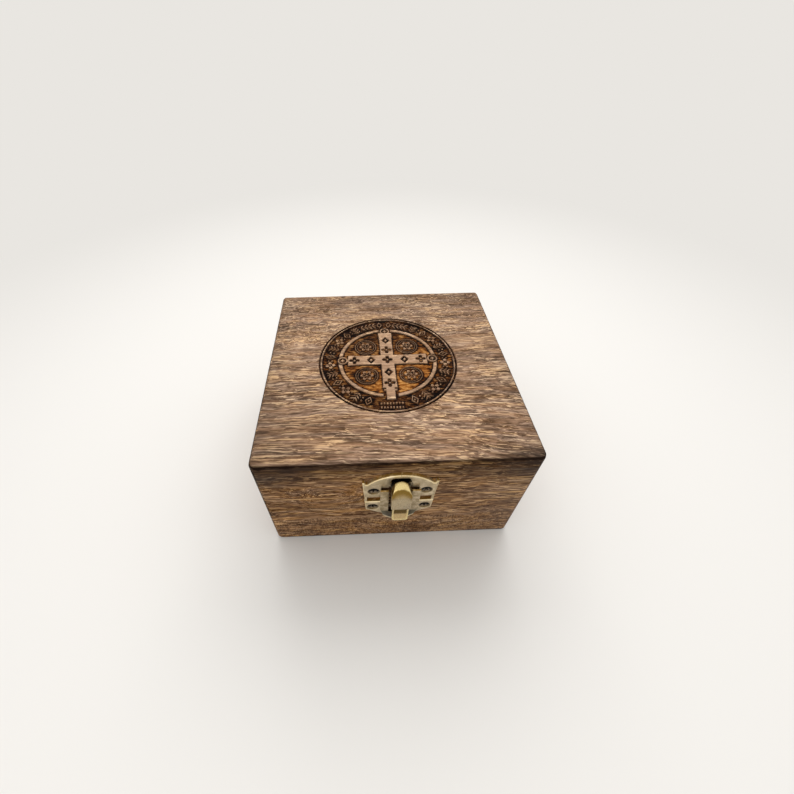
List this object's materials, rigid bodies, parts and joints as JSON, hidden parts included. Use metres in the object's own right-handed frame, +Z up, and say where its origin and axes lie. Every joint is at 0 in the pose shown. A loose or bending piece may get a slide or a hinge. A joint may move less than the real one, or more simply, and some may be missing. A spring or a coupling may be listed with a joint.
{
  "type": "prayer box",
  "caption": "Square hinged wooden prayer box with a sprung lever latch at the front, for small keepsakes and folded papers.",
  "frame": {"origin": "centre of the flat underside of the base, on the surface that the box stands on", "axes": "+Z up through the lid, -Y out of the front where the latch is, +X to the right seen from the front"},
  "size_m": [0.1, 0.1094, 0.057],
  "materials": {
    "base_wood": "carbonised and brushed, waxed",
    "lid_wood": "carbonised and brushed, waxed, engraved on top",
    "latch_brass": "antique plated, satin",
    "lever_brass": "antique plated, polished",
    "screws": "bronzed, dark",
    "spring_steel": "drawn wire"
  },
  "bodies": {
    "base": {"base_front": "base_wood", "base_back": "base_wood", "base_left": "base_wood", "base_right": "base_wood", "base_floor": "base_wood", "latch_plate": "latch_brass", "latch_pin": "screws", "latch_screw_left": "screws", "latch_screw_right": "screws", "hinge_left_base_leaf": "latch_brass", "hinge_left_pin": "screws", "hinge_left_base_screw_1": "screws", "hinge_left_base_screw_2": "screws", "hinge_right_base_leaf": "latch_brass", "hinge_right_pin": "screws", "hinge_right_base_screw_1": "screws", "hinge_right_base_screw_2": "screws"},
    "lid": {"lid_front": "lid_wood", "lid_back": "lid_wood", "lid_left": "lid_wood", "lid_right": "lid_wood", "lid_panel": "lid_wood", "latch_keeper": "latch_brass", "keeper_screw_left": "screws", "keeper_screw_right": "screws", "hinge_left_lid_leaf": "latch_brass", "hinge_left_lid_screw_1": "screws", "hinge_left_lid_screw_2": "screws", "hinge_right_lid_leaf": "latch_brass", "hinge_right_lid_screw_1": "screws", "hinge_right_lid_screw_2": "screws"},
    "lever": {"latch_lever": "lever_brass", "latch_spring": "spring_steel"}
  },
  "joints": [
    {"name": "lid_hinge", "type": "hinge", "parent": "base", "child": "lid", "pos_m": [0, 0.0516, 0.0346], "axis": [-1, 0, 0], "range_deg": [0, 180]},
    {"name": "latch_lever_pivot", "type": "hinge", "parent": "base", "child": "lever", "pos_m": [0.0011, -0.0516, 0.0311], "axis": [1, 0, 0], "range_deg": [0, 20], "stiffness_Nm_per_rad": 0.01, "springref_deg": -22.92, "deforming": ["latch_spring"]}
  ]
}
